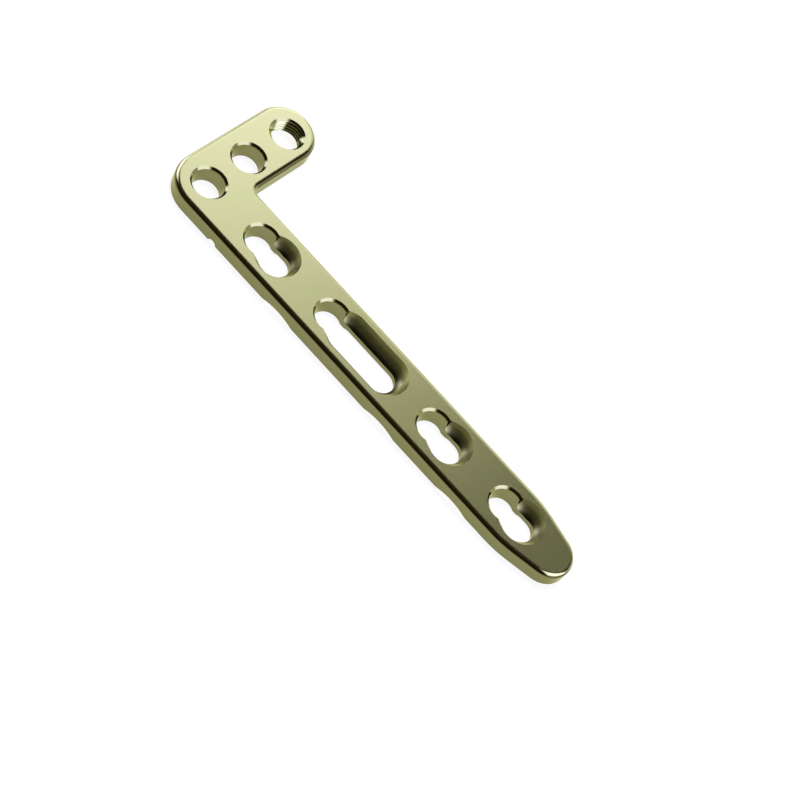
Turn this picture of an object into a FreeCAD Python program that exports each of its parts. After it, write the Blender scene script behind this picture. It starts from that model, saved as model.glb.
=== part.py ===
import FreeCAD, Part
import math
import os
import Sketcher

# Right-angle bone plate, one piece of titanium, in millimetres.
# The origin is on the axis of the corner hole, at the face that lies on the bone.
# +X runs down the shaft to its tip, +Y along the head's arm, +Z away from the bone.

SIZES = {
    # The plate's body
    "thickness": 2.2,
    "shaft_width": 8.24,
    "head_back": 4.3,
    "head_front": 3.62,
    "outer_corner_radius": 4.6,
    "inner_corner_radius": 1.0,
    "tip_radius": 3.1,
    "tip_taper_degrees": 12.2,
    "tip_blend_radius": 15.0,
    "top_edge_radius": 0.6,
    "bottom_edge_radius": 0.12,
    # From the axis of the last hole to the arm's end and to the shaft's tip
    "arm_end_reach": 3.9,
    "tip_reach": 10.38,
    # Round screw holes. A smooth one has a cone above its round land, and all have a rim
    "head_hole_pitch": 6.7,
    "land_radius": 1.8,
    "cone_spread": 0.3,
    "cone_slope_degrees": 78.8,
    "thread_root_radius": 2.1,
    "rim_width": 0.23,
    # Combination holes along the shaft, each placed by its round part
    "first_combi_x": 9.2,
    "combi_pitch": 12.05,
    "long_hole_extra": 5.25,
    # The ball-shaped bowl and the slot of a combination hole, from the round part's axis
    "bowl_offset": 2.65,
    "bowl_rim_radius": 2.92,
    "bowl_centre_lift": 1.0,
    "slot_width": 3.42,
    "slot_near_offset": 2.25,
    "slot_far_offset": 3.05,
    "neck_width": 3.1,
    "long_bowl_travel": 6.5,
    "long_slot_travel": 6.1,
    # Relief on the underside
    "relief_setback": 4.4,
    "relief_radius": 6.75,
    "relief_depth": 0.54,
    "notch_x": 5.6,
    "notch_radius": 0.65,
    "notch_depth": 0.55,
}

# Combination holes are counted from the head, and one of them is long
COMBI_COUNT = 4
LONG_HOLE = 1

# How far a cutting shape starts or ends outside the plate
CUT_MARGIN = 0.25

COUNTERSINK_DEGREES = 90

# A bowl is part of a ball whose centre lies above the top face
BALL_RADIUS = "sqrt(sizes.bowl_rim_radius ^ 2 + sizes.bowl_centre_lift ^ 2)"

START = 1
END = 2
CENTRE = 3
ORIGIN = (-1, START)
X_AXIS = -1


def size(name):
    return SIZES[name]


def combi_place(index):
    """Where a combination hole's round part lies on the shaft, and its expression."""
    place = size("first_combi_x") + index * size("combi_pitch")
    expression = f"sizes.first_combi_x + {index} * sizes.combi_pitch"
    if index > LONG_HOLE:
        place += size("long_hole_extra")
        expression += " + sizes.long_hole_extra"
    return place, expression


def make_sheet(doc):
    sheet = doc.addObject("Spreadsheet::Sheet", "sizes")
    for row, (alias, value) in enumerate(SIZES.items(), start=1):
        sheet.set(f"A{row}", alias)
        sheet.set(f"B{row}", str(value))
        sheet.setAlias(f"B{row}", alias)
    doc.recompute()
    return sheet


def origin_plane(body, role):
    for feature in body.Origin.OriginFeatures:
        if feature.Role == role:
            return feature
    raise ValueError(f"no plane {role}")


def new_sketch(body, name, role, height=None):
    """A sketch on one of the body's own planes, raised by the size expression height."""
    sketch = body.newObject("Sketcher::SketchObject", name)
    sketch.AttachmentSupport = [(origin_plane(body, role), "")]
    sketch.MapMode = "FlatFace"
    if height:
        sketch.setExpression("AttachmentOffset.Base.z", height)
    return sketch


def point(x, y):
    return FreeCAD.Vector(x, y, 0)


def line(start, end):
    return Part.LineSegment(point(*start), point(*end))


def arc(centre, radius, first_degrees, last_degrees):
    circle = Part.Circle(point(*centre), FreeCAD.Vector(0, 0, 1), radius)
    return Part.ArcOfCircle(circle, math.radians(first_degrees), math.radians(last_degrees))


def bind(sketch, kind, places, expression, value):
    """Adds one dimension to a sketch and ties it to the sheet."""
    index = sketch.addConstraint(Sketcher.Constraint(kind, *places, value))
    sketch.setExpression(f"Constraints[{index}]", expression)


def relate(sketch, kind, *places):
    sketch.addConstraint(Sketcher.Constraint(kind, *places))


def draw_outline(body):
    """The closed L shape, drawn anticlockwise from the side opposite the arm."""
    half = size("shaft_width") / 2
    back = size("head_back")
    front = size("head_front")
    corner = size("outer_corner_radius")
    inner = size("inner_corner_radius")
    end_radius = (back + front) / 2
    end_y = 2 * size("head_hole_pitch") + size("arm_end_reach") - end_radius
    tip = size("tip_radius")
    last_x, last_expression = combi_place(COMBI_COUNT - 1)
    tip_x = last_x + size("tip_reach") - tip
    taper = math.radians(size("tip_taper_degrees"))
    blend = size("tip_blend_radius")

    tip_tangent = (tip_x + tip * math.sin(taper), tip * math.cos(taper))
    meet_x = tip_tangent[0] - (half - tip_tangent[1]) / math.tan(taper)
    run = blend * math.tan(taper / 2)
    blend_x = meet_x - run
    blend_end = (meet_x + run * math.cos(taper), half - run * math.sin(taper))
    taper_degrees = size("tip_taper_degrees")

    sketch = new_sketch(body, "outline", "XY_Plane")
    pieces = [
        (line((corner - back, -half), (blend_x, -half)), START),
        (arc((blend_x, blend - half), blend, -90, taper_degrees - 90), START),
        (line((blend_end[0], -blend_end[1]), (tip_tangent[0], -tip_tangent[1])), START),
        (arc((tip_x, 0), tip, taper_degrees - 90, 90 - taper_degrees), START),
        (line(tip_tangent, blend_end), START),
        (arc((blend_x, half - blend), blend, 90 - taper_degrees, 90), START),
        (line((blend_x, half), (front + inner, half)), START),
        (arc((front + inner, half + inner), inner, 180, 270), END),
        (line((front, half + inner), (front, end_y)), START),
        (arc(((front - back) / 2, end_y), end_radius, 0, 180), START),
        (line((-back, end_y), (-back, corner - half)), START),
        (arc((corner - back, corner - half), corner, 180, 270), START),
    ]
    (near_side, near_blend, near_taper, tip_arc, far_taper, far_blend,
     far_side, inner_arc, front_side, end_arc, back_side, corner_arc) = range(len(pieces))
    sketch.addGeometry([piece for piece, entry in pieces], False)

    for index, (piece, entry) in enumerate(pieces):
        after = (index + 1) % len(pieces)
        leaving = END if entry == START else START
        relate(sketch, "Tangent", index, leaving, after, pieces[after][1])
    relate(sketch, "Horizontal", near_side)
    relate(sketch, "Horizontal", far_side)
    relate(sketch, "Vertical", front_side)
    relate(sketch, "Vertical", back_side)
    relate(sketch, "PointOnObject", tip_arc, CENTRE, X_AXIS)
    relate(sketch, "Equal", near_blend, far_blend)
    relate(sketch, "Equal", near_taper, far_taper)

    bind(sketch, "DistanceY", (near_side, START, *ORIGIN), "sizes.shaft_width / 2", half)
    bind(sketch, "DistanceY", (*ORIGIN, far_side, START), "sizes.shaft_width / 2", half)
    bind(sketch, "DistanceX", (back_side, START, *ORIGIN), "sizes.head_back", back)
    bind(sketch, "DistanceX", (*ORIGIN, front_side, START), "sizes.head_front", front)
    bind(sketch, "DistanceY", (*ORIGIN, end_arc, CENTRE),
         "2 * sizes.head_hole_pitch + sizes.arm_end_reach"
         " - (sizes.head_back + sizes.head_front) / 2", end_y)
    bind(sketch, "DistanceX", (*ORIGIN, tip_arc, CENTRE),
         f"{last_expression} + sizes.tip_reach - sizes.tip_radius", tip_x)
    bind(sketch, "Angle", (near_taper,), "sizes.tip_taper_degrees * 1 deg", taper)
    bind(sketch, "Radius", (tip_arc,), "sizes.tip_radius", tip)
    bind(sketch, "Radius", (near_blend,), "sizes.tip_blend_radius", blend)
    bind(sketch, "Radius", (inner_arc,), "sizes.inner_corner_radius", inner)
    bind(sketch, "Radius", (corner_arc,), "sizes.outer_corner_radius", corner)
    return sketch


def draw_circles(sketch, centres, radius_expression, radius):
    """Circles at (x, x expression, y, y expression) in a sketch."""
    for x, x_expression, y, y_expression in centres:
        index = sketch.addGeometry(
            Part.Circle(point(x, y), FreeCAD.Vector(0, 0, 1), radius), False)
        bind(sketch, "Radius", (index,), radius_expression, radius)
        if x_expression:
            bind(sketch, "DistanceX", (*ORIGIN, index, CENTRE), x_expression, x)
        else:
            relate(sketch, "PointOnObject", index, CENTRE, -2)
        if y_expression:
            bind(sketch, "DistanceY", (*ORIGIN, index, CENTRE), y_expression, y)
        else:
            relate(sketch, "PointOnObject", index, CENTRE, X_AXIS)


def flat_faces(shape, height):
    """Names of the level faces at a height."""
    names = []
    for number, face in enumerate(shape.Faces, start=1):
        box = face.BoundBox
        if box.ZLength < 1e-6 and abs(box.ZMin - height) < 1e-6:
            names.append(f"Face{number}")
    return names


def volume_drop(before, after, what):
    """Stops the build when a cut has removed nothing."""
    if after.Shape.Volume > before.Shape.Volume - 1e-6:
        raise RuntimeError(f"{what} cut nothing")


def add_pocket(body, sketch, name, side="One side"):
    base = body.Tip
    pocket = body.newObject("PartDesign::Pocket", name)
    pocket.Profile = sketch
    pocket.Type = "ThroughAll"
    pocket.SideType = side
    body.Document.recompute()
    volume_drop(base, pocket, name)
    return pocket


def add_blank(body):
    """The plate with its rounded edges, before any hole."""
    doc = body.Document
    pad = body.newObject("PartDesign::Pad", "blank")
    pad.Profile = draw_outline(body)
    pad.setExpression("Length", "sizes.thickness")
    doc.recompute()
    top = body.newObject("PartDesign::Fillet", "rounded_top_edge")
    top.Base = (pad, flat_faces(pad.Shape, size("thickness")))
    top.setExpression("Radius", "sizes.top_edge_radius")
    doc.recompute()
    bottom = body.newObject("PartDesign::Fillet", "rounded_bottom_edge")
    bottom.Base = (top, flat_faces(top.Shape, 0))
    bottom.setExpression("Radius", "sizes.bottom_edge_radius")
    doc.recompute()


def add_hole(body, sketch, name, diameter, depth):
    """A drilled hole at each circle of a sketch; diameter and depth are expressions."""
    hole = body.newObject("PartDesign::Hole", name)
    hole.Profile = sketch
    body.Document.recompute()
    hole.ThreadType = "None"
    hole.DepthType = "Dimension"
    hole.DrillPoint = "Flat"
    hole.setExpression("Diameter", diameter)
    hole.setExpression("Depth", depth)
    return hole


def countersink(hole, radius):
    """Adds the rim's slope to a hole; radius is the hole's own at the top, an expression."""
    hole.HoleCutType = "Countersink"
    hole.HoleCutCountersinkAngle = COUNTERSINK_DEGREES
    hole.setExpression("HoleCutDiameter", f"2 * ({radius} + sizes.rim_width)")


def add_round_holes(body):
    """The threaded hole's plain bore, and the smooth holes with a cone above their land."""
    doc = body.Document
    pitch = size("head_hole_pitch")
    through = f"sizes.thickness + {CUT_MARGIN}"

    threaded = [(0, "", 2 * pitch, "2 * sizes.head_hole_pitch")]
    sketch = new_sketch(body, "threaded_hole_circle", "XY_Plane", "sizes.thickness")
    draw_circles(sketch, threaded, "sizes.thread_root_radius", size("thread_root_radius"))
    bore = add_hole(body, sketch, "threaded_hole", "2 * sizes.thread_root_radius", through)
    countersink(bore, "sizes.thread_root_radius")
    doc.recompute()

    smooth = [(0, "", 0, ""), (0, "", pitch, "sizes.head_hole_pitch")]
    for index in range(COMBI_COUNT):
        smooth.append((*combi_place(index), 0, ""))
    sketch = new_sketch(body, "smooth_hole_circles", "XY_Plane", "sizes.thickness")
    draw_circles(sketch, smooth, "sizes.land_radius", size("land_radius"))
    land = add_hole(body, sketch, "smooth_holes", "2 * sizes.land_radius", through)
    doc.recompute()
    volume_drop(bore, land, "smooth holes")
    cone_top = "(sizes.land_radius + sizes.cone_spread)"
    cone = add_hole(body, sketch, "hole_cones", f"2 * {cone_top}",
                    "sizes.cone_spread * tan(sizes.cone_slope_degrees * 1 deg)")
    cone.Tapered = True
    cone.setExpression("TaperedAngle", "sizes.cone_slope_degrees * 1 deg")
    countersink(cone, cone_top)
    doc.recompute()
    volume_drop(land, cone, "hole cones")


def draw_quarter_ball(body, name, x_expression, x):
    """A quarter disc beside the upright axis of a bowl, its centre above the plate."""
    ball = math.hypot(size("bowl_rim_radius"), size("bowl_centre_lift"))
    height = size("thickness") + size("bowl_centre_lift")
    sketch = new_sketch(body, name, "XZ_Plane")
    sketch.addGeometry([
        line((x, height - ball), (x, height)),
        line((x, height), (x + ball, height)),
        arc((x, height), ball, -90, 0),
    ], False)
    axis, top, curve = range(3)
    relate(sketch, "Coincident", axis, END, top, START)
    relate(sketch, "Coincident", top, END, curve, END)
    relate(sketch, "Coincident", curve, START, axis, START)
    relate(sketch, "Coincident", curve, CENTRE, axis, END)
    relate(sketch, "Vertical", axis)
    relate(sketch, "Horizontal", top)
    bind(sketch, "Radius", (curve,), BALL_RADIUS, ball)
    bind(sketch, "DistanceX", (*ORIGIN, curve, CENTRE), x_expression, x)
    bind(sketch, "DistanceY", (*ORIGIN, curve, CENTRE),
         "sizes.thickness + sizes.bowl_centre_lift", height)
    return sketch


def add_bowl(body, name, x_expression, x):
    base = body.Tip
    sketch = draw_quarter_ball(body, f"{name}_profile", x_expression, x)
    groove = body.newObject("PartDesign::Groove", name)
    groove.Profile = sketch
    groove.ReferenceAxis = (sketch, ["Edge1"])
    groove.Angle = 360
    body.Document.recompute()
    volume_drop(base, groove, name)


def add_trough(body, x_expression):
    """The straight run between the two ball ends of the long hole."""
    base = body.Tip
    ball = math.hypot(size("bowl_rim_radius"), size("bowl_centre_lift"))
    height = size("thickness") + size("bowl_centre_lift")
    sketch = new_sketch(body, "trough_circle", "YZ_Plane", x_expression)
    index = sketch.addGeometry(
        Part.Circle(point(0, height), FreeCAD.Vector(0, 0, 1), ball), False)
    relate(sketch, "PointOnObject", index, CENTRE, -2)
    bind(sketch, "Radius", (index,), BALL_RADIUS, ball)
    bind(sketch, "DistanceY", (*ORIGIN, index, CENTRE),
         "sizes.thickness + sizes.bowl_centre_lift", height)
    pocket = body.newObject("PartDesign::Pocket", "trough")
    pocket.Profile = sketch
    pocket.setExpression("Length", "sizes.long_bowl_travel")
    body.Document.recompute()
    volume_drop(base, pocket, "trough")


def draw_stadium(sketch, first, second, first_expression, second_expression):
    """A slot outline along X between two end centres, as wide as the slot."""
    radius = size("slot_width") / 2
    base = sketch.GeometryCount
    sketch.addGeometry([
        line((first, -radius), (second, -radius)),
        arc((second, 0), radius, -90, 90),
        line((second, radius), (first, radius)),
        arc((first, 0), radius, 90, 270),
    ], False)
    near, far_end, far, near_end = range(base, base + 4)
    relate(sketch, "Tangent", near, END, far_end, START)
    relate(sketch, "Tangent", far_end, END, far, START)
    relate(sketch, "Tangent", far, END, near_end, START)
    relate(sketch, "Tangent", near_end, END, near, START)
    relate(sketch, "PointOnObject", far_end, CENTRE, X_AXIS)
    relate(sketch, "PointOnObject", near_end, CENTRE, X_AXIS)
    bind(sketch, "Radius", (far_end,), "sizes.slot_width / 2", radius)
    bind(sketch, "DistanceX", (*ORIGIN, near_end, CENTRE), first_expression, first)
    bind(sketch, "DistanceX", (*ORIGIN, far_end, CENTRE), second_expression, second)


def draw_neck(sketch, first, second, first_expression, second_expression):
    """A rectangle that opens the waist between the round part and the slot."""
    half = size("neck_width") / 2
    base = sketch.GeometryCount
    sketch.addGeometry([
        line((first, -half), (second, -half)),
        line((second, -half), (second, half)),
        line((second, half), (first, half)),
        line((first, half), (first, -half)),
    ], False)
    near, right, far, left = range(base, base + 4)
    relate(sketch, "Coincident", near, END, right, START)
    relate(sketch, "Coincident", right, END, far, START)
    relate(sketch, "Coincident", far, END, left, START)
    relate(sketch, "Coincident", left, END, near, START)
    relate(sketch, "Horizontal", near)
    relate(sketch, "Horizontal", far)
    relate(sketch, "Vertical", right)
    relate(sketch, "Vertical", left)
    bind(sketch, "DistanceY", (near, START, *ORIGIN), "sizes.neck_width / 2", half)
    bind(sketch, "DistanceY", (*ORIGIN, far, START), "sizes.neck_width / 2", half)
    bind(sketch, "DistanceX", (*ORIGIN, near, START), first_expression, first)
    bind(sketch, "DistanceX", (*ORIGIN, near, END), second_expression, second)


def add_combination_holes(body):
    """Bowls, slots and necks that turn the shaft's round holes into combination holes."""
    slots = []
    necks = []
    for index in range(COMBI_COUNT):
        place, expression = combi_place(index)
        bowl = place + size("bowl_offset")
        near = place + size("slot_near_offset")
        far = place + size("slot_far_offset")
        bowl_expression = f"{expression} + sizes.bowl_offset"
        near_expression = f"{expression} + sizes.slot_near_offset"
        far_expression = f"{expression} + sizes.slot_far_offset"
        add_bowl(body, f"bowl_{index + 1}", bowl_expression, bowl)
        if index == LONG_HOLE:
            bowl += size("long_bowl_travel")
            far += size("long_slot_travel")
            bowl_expression += " + sizes.long_bowl_travel"
            far_expression += " + sizes.long_slot_travel"
            add_bowl(body, "far_bowl", bowl_expression, bowl)
            add_trough(body, bowl_expression)
        slots.append((near, far, near_expression, far_expression))
        necks.append((place, near, expression, near_expression))
    for title, draw, outlines in (("slots", draw_stadium, slots), ("necks", draw_neck, necks)):
        sketch = new_sketch(body, f"{title}_outline", "XY_Plane", "sizes.thickness")
        for outline in outlines:
            draw(sketch, *outline)
        add_pocket(body, sketch, title)


def draw_relief(sketch, x, x_expression, kind):
    """A round-topped segment that starts below the plate and rises into it."""
    radius = size(f"{kind}_radius")
    depth = size(f"{kind}_depth")
    reach = math.degrees(math.acos((radius - depth - CUT_MARGIN) / radius))
    half = radius * math.sin(math.radians(reach))
    base = sketch.GeometryCount
    sketch.addGeometry([
        arc((x, depth - radius), radius, 90 - reach, 90 + reach),
        line((x - half, -CUT_MARGIN), (x + half, -CUT_MARGIN)),
    ], False)
    curve, chord = range(base, base + 2)
    relate(sketch, "Coincident", curve, END, chord, START)
    relate(sketch, "Coincident", chord, END, curve, START)
    relate(sketch, "Horizontal", chord)
    bind(sketch, "Radius", (curve,), f"sizes.{kind}_radius", radius)
    bind(sketch, "DistanceX", (*ORIGIN, curve, CENTRE), x_expression, x)
    bind(sketch, "DistanceY", (curve, CENTRE, *ORIGIN),
         f"sizes.{kind}_radius - sizes.{kind}_depth", radius - depth)
    relate(sketch, "DistanceY", chord, START, *ORIGIN, CUT_MARGIN)


def add_underside_reliefs(body):
    """Shallow cross grooves that lift the plate off the bone ahead of its holes."""
    reliefs = [("notch", size("notch_x"), "sizes.notch_x", "notch")]
    for index in range(LONG_HOLE, COMBI_COUNT):
        place, expression = combi_place(index)
        reliefs.append((f"relief_{index}", place - size("relief_setback"),
                        f"{expression} - sizes.relief_setback", "relief"))
    for name, x, x_expression, kind in reliefs:
        sketch = new_sketch(body, f"{name}_profile", "XZ_Plane")
        draw_relief(sketch, x, x_expression, kind)
        add_pocket(body, sketch, name, "Symmetric")


def check(doc, body):
    """Stops the build if a feature failed or the plate is not one sound solid."""
    for item in doc.Objects:
        if "Invalid" in item.State or "Error" in item.State:
            raise RuntimeError(f"{item.Name} is {item.State}")
    if body.Shape.isNull() or not body.Shape.isValid() or len(body.Shape.Solids) != 1:
        raise RuntimeError("the plate is not one valid solid")


def main():
    doc = FreeCAD.newDocument("bone_plate_model")
    make_sheet(doc)
    body = doc.addObject("PartDesign::Body", "bone_plate")
    body.Label = "bone_plate"
    add_blank(body)
    add_round_holes(body)
    add_combination_holes(body)
    add_underside_reliefs(body)
    doc.recompute()
    check(doc, body)
    os.makedirs("parts", exist_ok=True)
    body.Shape.exportStep(f"parts/{body.Label}.step")
    print(f"{body.Label}: {body.Shape.Volume:.1f} cubic millimetres")


main()
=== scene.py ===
"""Looks of the bone plate: champagne anodised titanium on a white table, in a studio tent."""

import math

import bpy
from mathutils import Matrix, Vector


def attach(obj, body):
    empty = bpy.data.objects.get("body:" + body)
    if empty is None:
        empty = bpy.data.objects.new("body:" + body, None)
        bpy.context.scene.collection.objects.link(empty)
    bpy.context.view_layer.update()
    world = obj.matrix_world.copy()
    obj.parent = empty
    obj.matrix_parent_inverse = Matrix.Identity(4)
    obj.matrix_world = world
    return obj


MM = 0.001

# Camera, in metres, placed as the photograph was taken: high over the near side and rolled
CAMERA_PLACE = Vector((0.05973, -0.13154, 0.18222))
CAMERA_AIM = Vector((0.03381, -0.00108, 0.0022))
CAMERA_ROLL = math.radians(38.215)
CAMERA_LENS = 88.7
SENSOR_WIDTH = 36.0

# Anodised titanium: the polished top, the machined walls, and the ball-milled bowls; the darker
# walls, the dark edge band and the darkening of the bowls are painted shade.
# Slopes are the upright part of the surface's normal: 1 lies flat and 0 stands upright
TOP_COLOUR = (0.675, 0.7, 0.285)
WARM_COLOUR = (0.7, 0.69, 0.3)
# painted shade: the walls' colour is darkened to stand for the darker surroundings they mirror
PAINTED_SHADE_WALL_COLOUR = (0.226, 0.221, 0.093)
PAINTED_SHADE_WALL_SLOPES = (0.85, 0.55)
# painted shade: a dark band on the steep part of the edge roundings
PAINTED_SHADE_SHOULDER_COLOUR = (0.11, 0.107, 0.042)
PAINTED_SHADE_SHOULDER_SLOPES = (0.2, 0.38, 0.54, 0.7)
BOWL_RIM_COLOUR = (0.54, 0.54, 0.225)
# painted shade: the bowls darken from their rim towards their flatter bottoms
PAINTED_SHADE_BOWL_DEEP_COLOUR = (0.06, 0.058, 0.022)
PAINTED_SHADE_BOWL_DEPTHS = (0.67, 0.8)
THREAD_COLOUR = (0.61, 0.62, 0.28)
FLANK_SLOPES = (0.55, 0.3)
BOWL_SLOPES = (0.22, 0.3, 0.93, 0.97)
EDGE_TINT = (0.95, 0.945, 0.71)
TOP_SLOPES = (0.95, 0.999)
TOP_METALLIC = 0.86
WALL_METALLIC = 1.0
TOP_ROUGHNESS = 0.12
BOWL_ROUGHNESS = 0.34

# Soft patches where the top turns from green to warm, and the fine grain of the metal
BLOTCH_SCALE = 420.0
BLOTCH_DETAIL = 3.0
BLOTCH_LIMITS = (0.35, 0.65)
GRAIN_SCALE = 9000.0
GRAIN_DETAIL = 2.0
GRAIN_HEIGHT = 0.0005 * MM

# Combination holes, placed along the shaft in mm, and where the bowl beside each one lies
COMBI_HOLES = (9.2, 21.25, 38.55, 50.6)
LONG_HOLE = 21.25
BOWL_STARTS = 0.9
BOWL_ENDS = 5.7
LONG_TRAVEL = 6.5
BOWL_HALF_WIDTH = 3.0

# White table, in metres, just under the plate and see-through from below
TABLE_RADIUS = 4.0
TABLE_CORNERS = 96
TABLE_COLOUR = (0.2, 0.2, 0.18)
TABLE_GLOW = 0.88
TABLE_DROP = 0.01 * MM

# Soft lamp high at the back left
LAMP_TILT = (math.radians(-28), math.radians(-16), 0)
LAMP_STRENGTH = 2.2
LAMP_ANGLE = math.radians(40)

# Studio: soft panels in a dark room. Each has four azimuths, from +Y towards +X, and four
# elevations, in degrees: where it begins, where it is full, where it fades and where it ends
ROOM_FILL = 0.02
ROOM_COLOUR = (0.95, 0.8, 0.4)
PANEL_COLOUR = (1.0, 1.0, 1.0)
COOL_COLOUR = (0.0, 0.0, 1.0)
PANEL_COOLNESS = 0.42
BELOW = -8.0
UNDER_LIGHT = 0.6
UNDER_STARTS = -14.0
UNDER_FULL = -35.0
PANELS = {
    "key": ((-62.0, -32.0, -27.0, 1.0), (BELOW, 20.0, 42.0, 66.0), 1.52),
    "key_foot": ((-40.0, -20.0, -4.0, 14.0), (14.0, 28.0, 38.0, 50.0), 0.9),
    "left": ((-108.0, -92.0, -58.0, -48.0), (BELOW, 0.0, 34.0, 48.0), 1.62),
    "right": ((50.0, 68.0, 112.0, 134.0), (0.0, 16.0, 60.0, 82.0), 1.72),
    "far": ((-20.0, 0.0, 60.0, 80.0), (BELOW, 0.0, 10.0, 32.0), 0.45),
}

# Thread in the head's locking hole, in mm: two ridges that turn as in the photograph, bevelled
# where they meet the top and bottom. Rise, crest and fall are parts of one pitch
THREAD_CENTRE = (0.0, 13.4)
THREAD_SEAT = 2.12
THREAD_ROOT = 2.07
THREAD_DEPTH = 0.22
THREAD_PITCH = 0.48
THREAD_STARTS = 2
THREAD_PHASE = 0.46
THREAD_LOW = 0.02
THREAD_HIGH = 1.96
THREAD_RISE = 0.38
THREAD_CREST = 0.5
THREAD_FALL = 0.95
THREAD_STEPS_AROUND = 192
THREAD_STEPS_PER_PITCH = 32


def socket(node, name):
    """The node's enabled input of that name."""
    return next(s for s in node.inputs if s.name == name and s.enabled)


def math_node(tree, operation, *values):
    """The output of a Math node whose inputs are numbers or sockets."""
    node = tree.nodes.new("ShaderNodeMath")
    node.operation = operation
    for index, value in enumerate(values):
        if isinstance(value, bpy.types.NodeSocket):
            tree.links.new(value, node.inputs[index])
        else:
            node.inputs[index].default_value = value
    return node.outputs[0]


def split_vector(tree, vector):
    """A vector's X, Y and Z outputs."""
    node = tree.nodes.new("ShaderNodeSeparateXYZ")
    tree.links.new(vector, node.inputs[0])
    return node.outputs


def add_shaders(tree, first, second):
    """The sum of two shaders."""
    node = tree.nodes.new("ShaderNodeAddShader")
    tree.links.new(first, node.inputs[0])
    tree.links.new(second, node.inputs[1])
    return node.outputs[0]


def ramp(tree, value, start, end):
    """A smooth rise from 0 where value is start to 1 where it is end."""
    node = tree.nodes.new("ShaderNodeMapRange")
    node.interpolation_type = "SMOOTHSTEP"
    tree.links.new(value, node.inputs["Value"])
    node.inputs["From Min"].default_value = start
    node.inputs["From Max"].default_value = end
    return node.outputs["Result"]


def window(tree, value, marks):
    """0 outside the first and last mark, 1 between the middle two, smooth between."""
    begins, full, fades, ends = marks
    rise = ramp(tree, value, begins, full)
    fall = ramp(tree, value, ends, fades)
    return math_node(tree, "MULTIPLY", rise, fall)


def seen_rays(tree):
    """1 for rays that show a surface to the camera, straight or in metal or glass."""
    path = tree.nodes.new("ShaderNodeLightPath")
    shown = math_node(
        tree, "MAXIMUM", path.outputs["Is Camera Ray"], path.outputs["Is Glossy Ray"]
    )
    return math_node(tree, "MAXIMUM", shown, path.outputs["Is Transmission Ray"])


def make_tent():
    """The studio tent as the world: soft panels round a dark open front."""
    world = bpy.data.worlds.new("studio_tent")
    bpy.context.scene.world = world
    world.use_nodes = True
    tree = world.node_tree
    place = tree.nodes.new("ShaderNodeTexCoord")
    sight = split_vector(tree, place.outputs["Generated"])
    turn = math_node(tree, "ARCTAN2", sight["X"], sight["Y"])
    azimuth = math_node(tree, "DEGREES", turn)
    elevation = math_node(tree, "DEGREES", math_node(tree, "ARCSINE", sight["Z"]))
    below = ramp(tree, elevation, UNDER_STARTS, UNDER_FULL)
    light = math_node(tree, "MULTIPLY", below, UNDER_LIGHT)
    for across, upright, strength in PANELS.values():
        column = window(tree, azimuth, across)
        band = window(tree, elevation, upright)
        panel = math_node(tree, "MULTIPLY", math_node(tree, "MULTIPLY", column, band), strength)
        light = math_node(tree, "MAXIMUM", light, panel)
    squared = math_node(tree, "MULTIPLY", light, light)
    coolness = math_node(tree, "MULTIPLY", squared, PANEL_COOLNESS)
    room = tree.nodes["Background"]
    room.inputs["Color"].default_value = (*ROOM_COLOUR, 1)
    room.inputs["Strength"].default_value = ROOM_FILL
    total = room.outputs[0]
    for colour, strength in ((PANEL_COLOUR, light), (COOL_COLOUR, coolness)):
        glow = tree.nodes.new("ShaderNodeBackground")
        glow.inputs["Color"].default_value = (*colour, 1)
        tree.links.new(strength, glow.inputs["Strength"])
        total = add_shaders(tree, total, glow.outputs[0])
    tree.links.new(total, tree.nodes["World Output"].inputs["Surface"])


def make_table():
    """A round white table top that keeps the plate's shadow; seen from below it is clear."""
    bpy.ops.mesh.primitive_circle_add(
        vertices=TABLE_CORNERS,
        radius=TABLE_RADIUS,
        fill_type="NGON",
        location=(0, 0, -TABLE_DROP),
    )
    table = bpy.context.object
    table.name = "table"
    material = bpy.data.materials.new("white_table")
    material.use_nodes = True
    tree = material.node_tree
    tree.nodes.clear()
    matt = tree.nodes.new("ShaderNodeBsdfDiffuse")
    matt.inputs["Color"].default_value = (*TABLE_COLOUR, 1)
    glow = tree.nodes.new("ShaderNodeEmission")
    strength = math_node(tree, "MULTIPLY", seen_rays(tree), TABLE_GLOW)
    tree.links.new(strength, glow.inputs["Strength"])
    white = add_shaders(tree, matt.outputs[0], glow.outputs[0])
    clear = tree.nodes.new("ShaderNodeBsdfTransparent")
    facing = tree.nodes.new("ShaderNodeNewGeometry")
    sides = tree.nodes.new("ShaderNodeMixShader")
    tree.links.new(facing.outputs["Backfacing"], sides.inputs[0])
    tree.links.new(white, sides.inputs[1])
    tree.links.new(clear.outputs[0], sides.inputs[2])
    out = tree.nodes.new("ShaderNodeOutputMaterial")
    tree.links.new(sides.outputs[0], out.inputs["Surface"])
    table.data.materials.append(material)


def noise(tree, scale, detail, place):
    """A noise texture's value over the object's own coordinates."""
    node = tree.nodes.new("ShaderNodeTexNoise")
    node.inputs["Scale"].default_value = scale
    node.inputs["Detail"].default_value = detail
    tree.links.new(place.outputs["Object"], node.inputs["Vector"])
    return node.outputs["Fac"]


def blend_colours(tree, factor, first, second):
    """A Mix node's colour output; each colour is a triple or a socket."""
    node = tree.nodes.new("ShaderNodeMix")
    node.data_type = "RGBA"
    tree.links.new(factor, socket(node, "Factor"))
    for name, value in (("A", first), ("B", second)):
        if isinstance(value, tuple):
            socket(node, name).default_value = (*value, 1)
        else:
            tree.links.new(value, socket(node, name))
    return next(s for s in node.outputs if s.enabled)


def blend_values(tree, factor, first, second):
    """A number that is first where factor is 0 and second where it is 1."""
    return math_node(tree, "MULTIPLY_ADD", factor, second - first, first)


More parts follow.
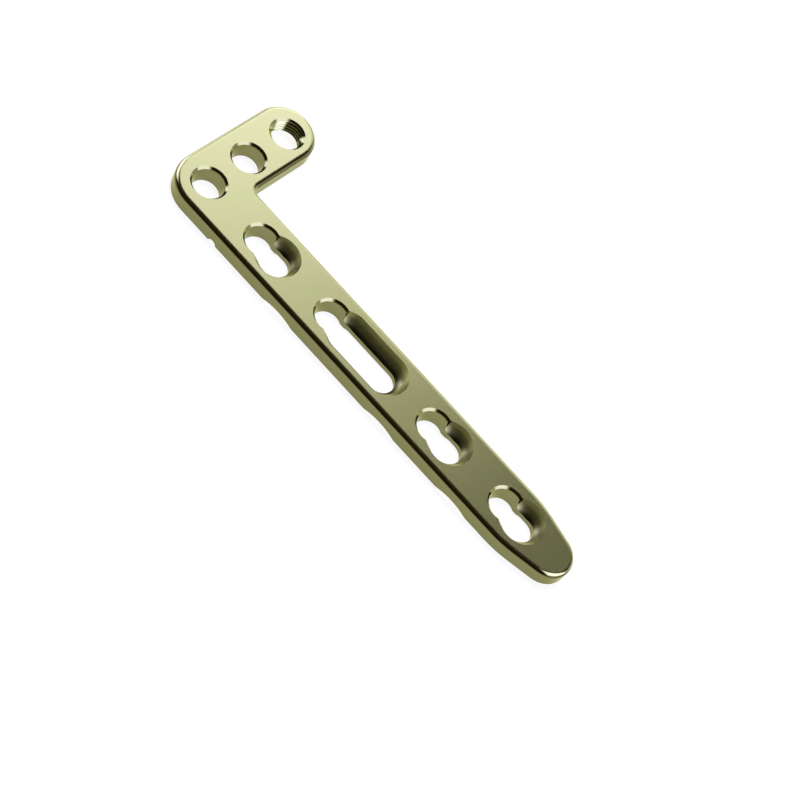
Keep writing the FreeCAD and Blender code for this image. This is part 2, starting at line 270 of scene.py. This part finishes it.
def bowl_zone(tree, place, flatness):
    """1 on the ball-milled bowls beside the combination holes, 0 elsewhere."""
    spot = split_vector(tree, place.outputs["Object"])
    along = None
    for hole in COMBI_HOLES:
        start = hole + BOWL_STARTS
        end = hole + BOWL_ENDS + (LONG_TRAVEL if hole == LONG_HOLE else 0)
        middle = (start + end) / 2 * MM
        reach = (end - start) / 2 * MM
        beside = math_node(tree, "COMPARE", spot["X"], middle, reach)
        along = beside if along is None else math_node(tree, "MAXIMUM", along, beside)
    aside = math_node(tree, "ABSOLUTE", spot["Y"])
    across = math_node(tree, "LESS_THAN", aside, BOWL_HALF_WIDTH * MM)
    sloping = window(tree, flatness, BOWL_SLOPES)
    zone = math_node(tree, "MULTIPLY", along, across)
    return math_node(tree, "MULTIPLY", zone, sloping)


def new_titanium(name):
    """A polished metal material, with its shader, its coordinates and how flat the surface lies."""
    material = bpy.data.materials.new(name)
    material.use_nodes = True
    tree = material.node_tree
    surface = tree.nodes["Principled BSDF"]
    surface.inputs["Specular Tint"].default_value = (*EDGE_TINT, 1)
    place = tree.nodes.new("ShaderNodeTexCoord")
    normal = split_vector(tree, place.outputs["Normal"])
    flatness = math_node(tree, "ABSOLUTE", normal["Z"])
    return material, surface, place, flatness


def make_plate_titanium():
    """Anodised titanium: pale on the top, with painted shade making the walls deeper and the edge
    bands and bowls deepest.
    """
    material, surface, place, flatness = new_titanium("champagne_titanium")
    tree = material.node_tree
    blotch = ramp(tree, noise(tree, BLOTCH_SCALE, BLOTCH_DETAIL, place), *BLOTCH_LIMITS)
    top = blend_colours(tree, blotch, TOP_COLOUR, WARM_COLOUR)
    # painted shade: steep faces take the darkened wall colour
    outside = blend_colours(tree, ramp(tree, flatness, *PAINTED_SHADE_WALL_SLOPES), top, PAINTED_SHADE_WALL_COLOUR)
    # painted shade: a dark band on the steep part of the edge roundings
    painted_edge_band_shade = window(tree, flatness, PAINTED_SHADE_SHOULDER_SLOPES)
    outside = blend_colours(tree, painted_edge_band_shade, outside, PAINTED_SHADE_SHOULDER_COLOUR)
    # painted shade: the bowls darken from their rim towards their flatter bottoms
    painted_bowl_shade = ramp(tree, flatness, *PAINTED_SHADE_BOWL_DEPTHS)
    inside = blend_colours(tree, painted_bowl_shade, BOWL_RIM_COLOUR, PAINTED_SHADE_BOWL_DEEP_COLOUR)
    bowl = bowl_zone(tree, place, flatness)
    tree.links.new(blend_colours(tree, bowl, outside, inside), surface.inputs["Base Color"])
    level = ramp(tree, flatness, *TOP_SLOPES)
    metallic = blend_values(tree, level, WALL_METALLIC, TOP_METALLIC)
    tree.links.new(metallic, surface.inputs["Metallic"])
    roughness = blend_values(tree, bowl, TOP_ROUGHNESS, BOWL_ROUGHNESS)
    tree.links.new(roughness, surface.inputs["Roughness"])
    bump = tree.nodes.new("ShaderNodeBump")
    bump.inputs["Distance"].default_value = GRAIN_HEIGHT
    tree.links.new(noise(tree, GRAIN_SCALE, GRAIN_DETAIL, place), bump.inputs["Height"])
    tree.links.new(bump.outputs["Normal"], surface.inputs["Normal"])
    return material


def make_thread_titanium():
    """The same metal on the thread: pale flanks, with the walls' painted shade on the upright
    crests and roots.
    """
    material, surface, _, flatness = new_titanium("thread_titanium")
    tree = material.node_tree
    upright = ramp(tree, flatness, *FLANK_SLOPES)
    colour = blend_colours(tree, upright, THREAD_COLOUR, PAINTED_SHADE_WALL_COLOUR)
    tree.links.new(colour, surface.inputs["Base Color"])
    surface.inputs["Metallic"].default_value = WALL_METALLIC
    surface.inputs["Roughness"].default_value = TOP_ROUGHNESS
    return material


def thread_radius(height, angle):
    """Radius of the thread's inner face, in mm, at a height and an angle round the hole."""
    turn = (height / THREAD_PITCH + THREAD_STARTS * angle / (2 * math.pi) + THREAD_PHASE) % 1.0
    if turn < THREAD_RISE:
        ridge = turn / THREAD_RISE
    elif turn < THREAD_CREST:
        ridge = 1.0
    elif turn < THREAD_FALL:
        ridge = (THREAD_FALL - turn) / (THREAD_FALL - THREAD_CREST)
    else:
        ridge = 0.0
    bevel = THREAD_SEAT - min(height - THREAD_LOW, THREAD_HIGH - height)
    return max(THREAD_ROOT - ridge * THREAD_DEPTH, bevel)


def make_thread(material):
    """The locking hole's thread: a sleeve seated in the bore, with helical ridges."""
    rows = round((THREAD_HIGH - THREAD_LOW) / THREAD_PITCH * THREAD_STEPS_PER_PITCH)
    around = THREAD_STEPS_AROUND
    points = []
    for row in range(rows + 1):
        height = THREAD_LOW + (THREAD_HIGH - THREAD_LOW) * row / rows
        for step in range(around):
            angle = 2 * math.pi * step / around
            points.append((thread_radius(height, angle), angle, height))
    for height in (THREAD_HIGH, THREAD_LOW):
        points += [(THREAD_SEAT, 2 * math.pi * step / around, height) for step in range(around)]
    places = [
        (
            (THREAD_CENTRE[0] + radius * math.cos(angle)) * MM,
            (THREAD_CENTRE[1] + radius * math.sin(angle)) * MM,
            height * MM,
        )
        for radius, angle, height in points
    ]
    rings = rows + 3
    faces = []
    for ring in range(rings):
        below = ring * around
        above = (ring + 1) % rings * around
        for step in range(around):
            after = (step + 1) % around
            faces.append((below + step, above + step, above + after, below + after))
    mesh = bpy.data.meshes.new("locking_hole_thread")
    mesh.from_pydata(places, [], faces)
    mesh.update()
    mesh.shade_smooth()
    mesh.materials.append(material)
    thread = bpy.data.objects.new("locking_hole_thread", mesh)
    bpy.context.scene.collection.objects.link(thread)
    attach(thread, "root")


def make_lamp():
    """The soft lamp that throws the plate's shadow; its own shape isn't mirrored in the metal."""
    data = bpy.data.lights.new("soft_lamp", "SUN")
    data.energy = LAMP_STRENGTH
    data.angle = LAMP_ANGLE
    lamp = bpy.data.objects.new("soft_lamp", data)
    lamp.rotation_euler = LAMP_TILT
    lamp.visible_glossy = False
    bpy.context.scene.collection.objects.link(lamp)


def make_camera():
    """The camera at the photograph's place, with its roll about the line of sight."""
    data = bpy.data.cameras.new("camera")
    data.lens = CAMERA_LENS
    data.sensor_width = SENSOR_WIDTH
    camera = bpy.data.objects.new("camera", data)
    bpy.context.scene.collection.objects.link(camera)
    sight = (CAMERA_AIM - CAMERA_PLACE).normalized()
    level = sight.cross(Vector((0, 0, 1))).normalized()
    raised = level.cross(sight)
    right = level * math.cos(CAMERA_ROLL) + raised * math.sin(CAMERA_ROLL)
    up = right.cross(sight)
    turned = Matrix((right, up, -sight)).transposed().to_4x4()
    camera.matrix_world = Matrix.Translation(CAMERA_PLACE) @ turned
    bpy.context.scene.camera = camera


bpy.ops.wm.read_factory_settings(use_empty=True)
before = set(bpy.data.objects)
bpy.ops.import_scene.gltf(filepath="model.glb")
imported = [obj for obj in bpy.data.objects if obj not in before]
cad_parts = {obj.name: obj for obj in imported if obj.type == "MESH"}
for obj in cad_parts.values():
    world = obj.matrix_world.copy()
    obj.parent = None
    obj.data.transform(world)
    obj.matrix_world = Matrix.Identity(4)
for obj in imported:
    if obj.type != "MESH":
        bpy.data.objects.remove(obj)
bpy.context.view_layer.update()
bpy.context.scene.view_settings.view_transform = "Standard"

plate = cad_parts["bone_plate"]
plate.data.materials.clear()
plate.data.materials.append(make_plate_titanium())
make_thread(make_thread_titanium())
make_table()
make_tent()
make_lamp()
make_camera()
